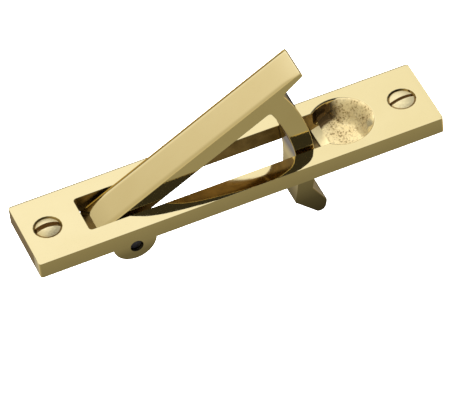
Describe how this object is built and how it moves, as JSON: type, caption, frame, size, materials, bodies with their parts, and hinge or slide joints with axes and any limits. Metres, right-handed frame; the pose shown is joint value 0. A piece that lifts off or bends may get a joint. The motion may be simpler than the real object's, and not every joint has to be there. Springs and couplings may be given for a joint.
{
  "type": "flush pivoting edge pull",
  "caption": "Flush edge pull for a sliding or pocket door: a slotted plate with a round thumb recess and a flat pull arm that pivots out of the slot.",
  "frame": {"origin": "centre of the plate's flat back face", "axes": "+X along the plate towards the thumb recess, +Y across the plate, +Z out of the door edge"},
  "size_m": [0.125, 0.025, 0.057],
  "materials": {
    "cast_brass": "polished, sand-cast inside the recess",
    "screw_brass": "turned, slightly dull",
    "pin_steel": "dark, oiled"
  },
  "bodies": {
    "plate": {"faceplate": "cast_brass", "pivot_pin": "pin_steel", "screw_left": "screw_brass", "screw_right": "screw_brass"},
    "arm": {"pull_arm": "cast_brass"}
  },
  "joints": [
    {"name": "arm_hinge", "type": "hinge", "parent": "plate", "child": "arm", "pos_m": [-0.0334, 0, -0.0009], "axis": [0, -1, 0], "range_deg": [-27.6, 8]}
  ]
}
